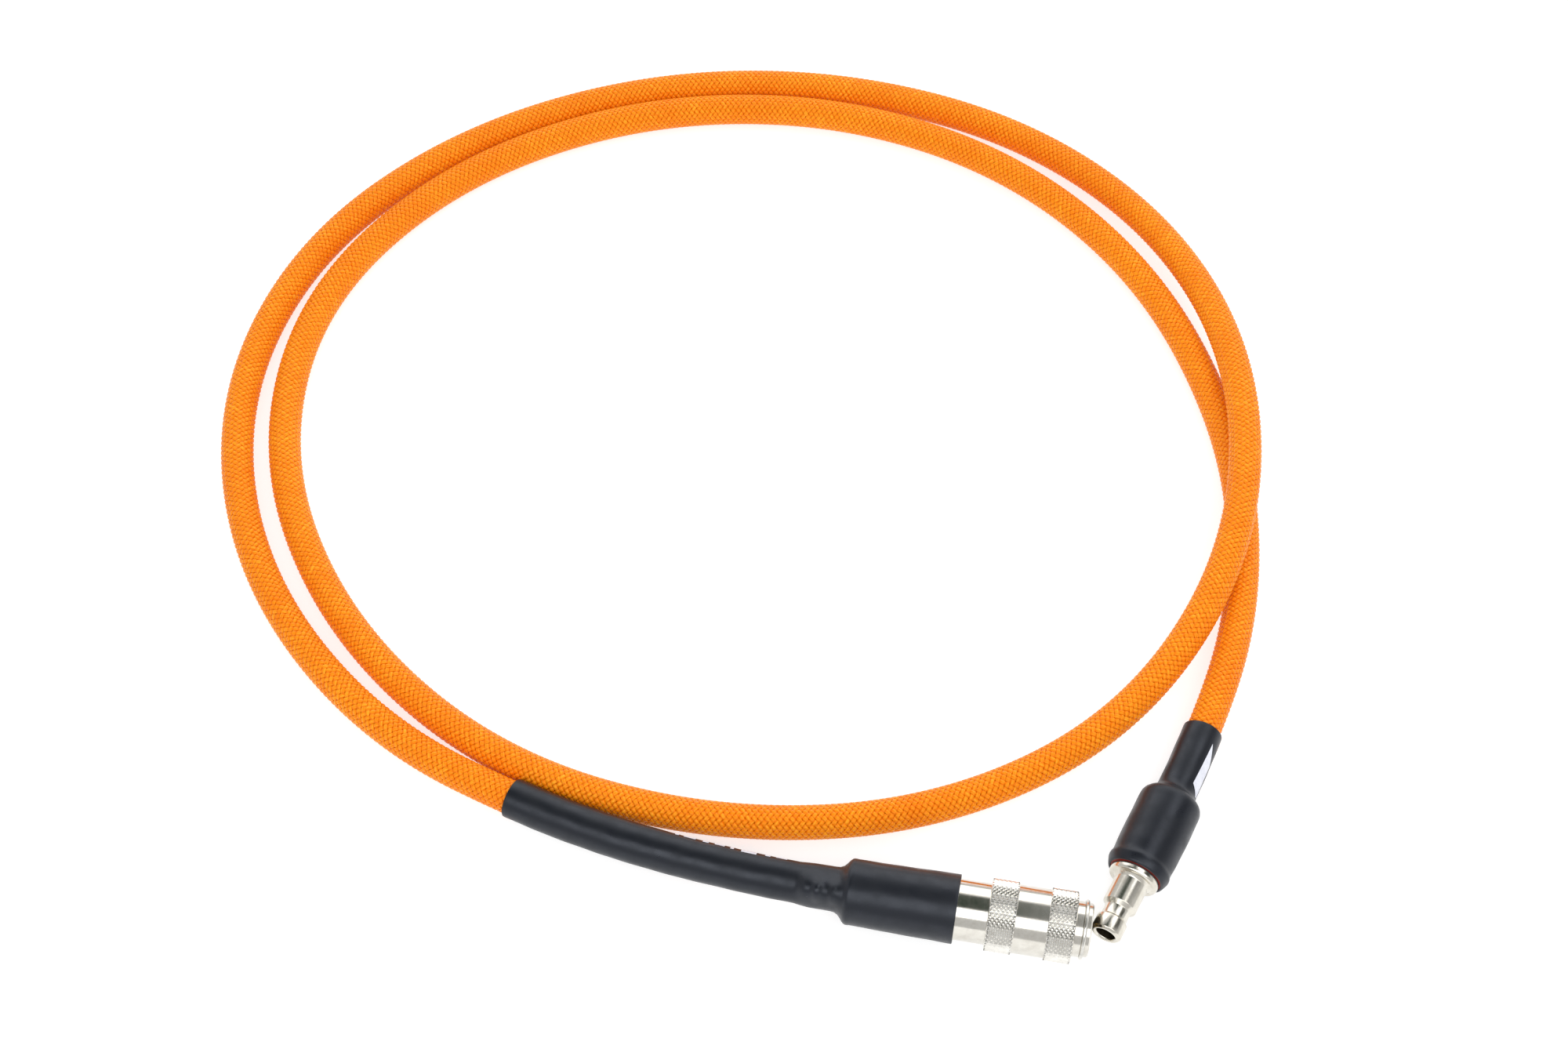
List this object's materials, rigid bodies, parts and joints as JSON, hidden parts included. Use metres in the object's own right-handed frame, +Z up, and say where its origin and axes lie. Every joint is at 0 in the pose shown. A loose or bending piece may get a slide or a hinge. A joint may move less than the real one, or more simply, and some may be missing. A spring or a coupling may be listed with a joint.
{
  "type": "braided air hose with quick coupling",
  "caption": "Braided flexible air hose, coiled, with a knurled-sleeve quick-release socket on one end and its mating plug on the other, both with heat-shrink sleeves.",
  "frame": {"origin": "on the surface that the hose lies on, straight under the centre of the socket's mouth", "axes": "+X along the socket's axis, out of its mouth; +Y across the coil, away from the socket; +Z up from the surface"},
  "size_m": [0.2641, 0.2502, 0.024],
  "materials": {
    "nickel": "bright nickel plate",
    "sleeve_nickel": "bright nickel plate over diamond knurling",
    "spring_steel": "drawn wire",
    "clamp_steel": "stamped strip",
    "ball_steel": "polished",
    "brass": "turned",
    "seal_rubber": "matte black",
    "red_washer": "smooth red",
    "heat_shrink": "matte black, soft sheen",
    "liner": "smooth orange",
    "braid": "plaited orange yarn"
  },
  "bodies": {
    "hose_assembly": {"coupling_body": "nickel", "retaining_ring": "spring_steel", "plug_seal": "seal_rubber", "valve_spring": "spring_steel", "tail_gasket": "seal_rubber", "tail_adapter": "brass", "ear_clamp": "clamp_steel", "coupling_heat_shrink": "heat_shrink", "hose_tube": "liner", "hose_braid": "braid", "plug_nipple": "nickel", "plug_washer": "red_washer", "plug_ferrule": "brass", "plug_heat_shrink": "heat_shrink"},
    "sleeve_carrier": {"sleeve_spring": "spring_steel"},
    "sleeve": {"release_sleeve": "sleeve_nickel"},
    "ball_1": {"lock_ball_1": "ball_steel"},
    "ball_2": {"lock_ball_2": "ball_steel"},
    "ball_3": {"lock_ball_3": "ball_steel"},
    "ball_4": {"lock_ball_4": "ball_steel"},
    "valve": {"valve_poppet": "brass", "valve_seal": "seal_rubber"}
  },
  "joints": [
    {"name": "sleeve_turn", "type": "hinge", "parent": "hose_assembly", "child": "sleeve_carrier", "pos_m": [-0.0133, 0, 0.00815], "axis": [1, 0, 0], "continuous": true},
    {"name": "sleeve_slide", "type": "slide", "parent": "sleeve_carrier", "child": "sleeve", "axis": [-1, 0, 0], "range_m": [0, 0.0018], "stiffness_N_per_m": 3000, "springref_m": -0.002, "deforming": ["sleeve_spring"]},
    {"name": "ball_1_lift", "type": "slide", "parent": "hose_assembly", "child": "ball_1", "axis": [0, -1, 0], "range_m": [0, 0.0006]},
    {"name": "ball_2_lift", "type": "slide", "parent": "hose_assembly", "child": "ball_2", "axis": [0, 0, 1], "range_m": [0, 0.0006]},
    {"name": "ball_3_lift", "type": "slide", "parent": "hose_assembly", "child": "ball_3", "axis": [0, 1, 0], "range_m": [0, 0.0006]},
    {"name": "ball_4_lift", "type": "slide", "parent": "hose_assembly", "child": "ball_4", "axis": [0, 0, -1], "range_m": [0, 0.0006]},
    {"name": "valve_slide", "type": "slide", "parent": "hose_assembly", "child": "valve", "axis": [-1, 0, 0], "range_m": [0, 0.0024], "stiffness_N_per_m": 1500, "springref_m": -0.002, "deforming": ["valve_spring"]}
  ],
  "couplings": [
    {"joint": "ball_1_lift", "follows": "sleeve_slide", "ratio": 0.3333},
    {"joint": "ball_2_lift", "follows": "sleeve_slide", "ratio": 0.3333},
    {"joint": "ball_3_lift", "follows": "sleeve_slide", "ratio": 0.3333},
    {"joint": "ball_4_lift", "follows": "sleeve_slide", "ratio": 0.3333}
  ]
}
